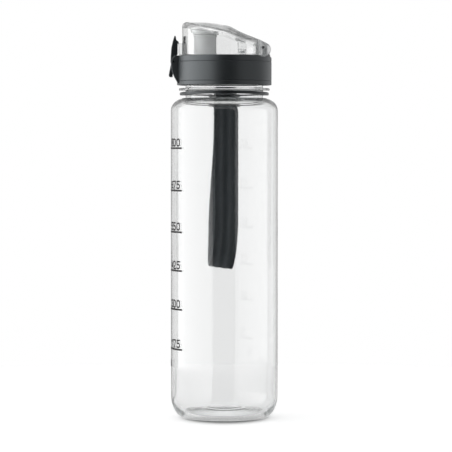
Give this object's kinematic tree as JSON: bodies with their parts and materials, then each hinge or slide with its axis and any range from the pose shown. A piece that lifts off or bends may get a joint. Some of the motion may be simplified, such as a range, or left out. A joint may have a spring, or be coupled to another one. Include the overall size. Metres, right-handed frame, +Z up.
{
  "type": "sports water bottle",
  "caption": "Tall clear drinking bottle with a screw cap, a clear flip lid over its spout, a side latch and a webbing carry strap.",
  "frame": {"origin": "centre of the round foot, on the plane that the bottle stands on", "axes": "+Z up along the bottle's axis, +X to the lid's hinge, -X to the latch, -Y to the front, +Y to the carry strap"},
  "size_m": [0.0796, 0.093, 0.29],
  "materials": {
    "clear_body": "clear, polished, moulded",
    "clear_lid": "clear, polished, moulded",
    "pale_core": "pale grey, satin moulded texture",
    "dark_shell": "near black, satin, lightly reflective",
    "dark_latch": "near black, fine satin texture",
    "black_rubber": "satin soft plastic",
    "silicone": "milky translucent silicone",
    "webbing": "ribbed polyester webbing",
    "steel": "plain bright wire and pin stock"
  },
  "bodies": {
    "bottle": {"bottle_body": "clear_body"},
    "ring": {"strap_ring": "black_rubber"},
    "strap": {"carry_strap": "webbing"},
    "seal": {"neck_seal": "silicone"},
    "cap": {"cap_core": "pale_core", "cap_shell": "dark_shell", "lid_hinge_pin": "steel", "latch_pin": "steel", "latch_spring": "steel"},
    "lid": {"flip_lid": "clear_lid", "spout_seal": "silicone", "vent_plug": "silicone"},
    "latch": {"latch_lever": "dark_latch"}
  },
  "joints": [
    {"name": "cap_lift", "type": "slide", "parent": "bottle", "child": "seal", "axis": [0, 0, 1], "range_m": [0, 0.018]},
    {"name": "cap_turn", "type": "hinge", "parent": "seal", "child": "cap", "pos_m": [0, 0, 0.2544], "axis": [0, 0, 1], "range_deg": [0, 1440]},
    {"name": "lid_open", "type": "hinge", "parent": "cap", "child": "lid", "pos_m": [0.0282, 0, 0.2712], "axis": [0, 1, 0], "range_deg": [0, 150]},
    {"name": "latch_press", "type": "hinge", "parent": "cap", "child": "latch", "pos_m": [-0.037, 0, 0.2611], "axis": [0, -1, 0], "range_deg": [0, 12], "stiffness_Nm_per_rad": 0.05, "deforming": ["latch_spring"]},
    {"name": "strap_ring_turn", "type": "hinge", "parent": "bottle", "child": "ring", "pos_m": [0, 0, 0.2374], "axis": [0, 0, 1], "continuous": true},
    {"name": "strap_swing", "type": "hinge", "parent": "ring", "child": "strap", "pos_m": [0, 0.0435, 0.23603], "axis": [1, 0, 0], "range_deg": [0, 120]}
  ],
  "couplings": [
    {"joint": "cap_lift", "follows": "cap_turn", "m_per_rad": 0.0007162}
  ]
}
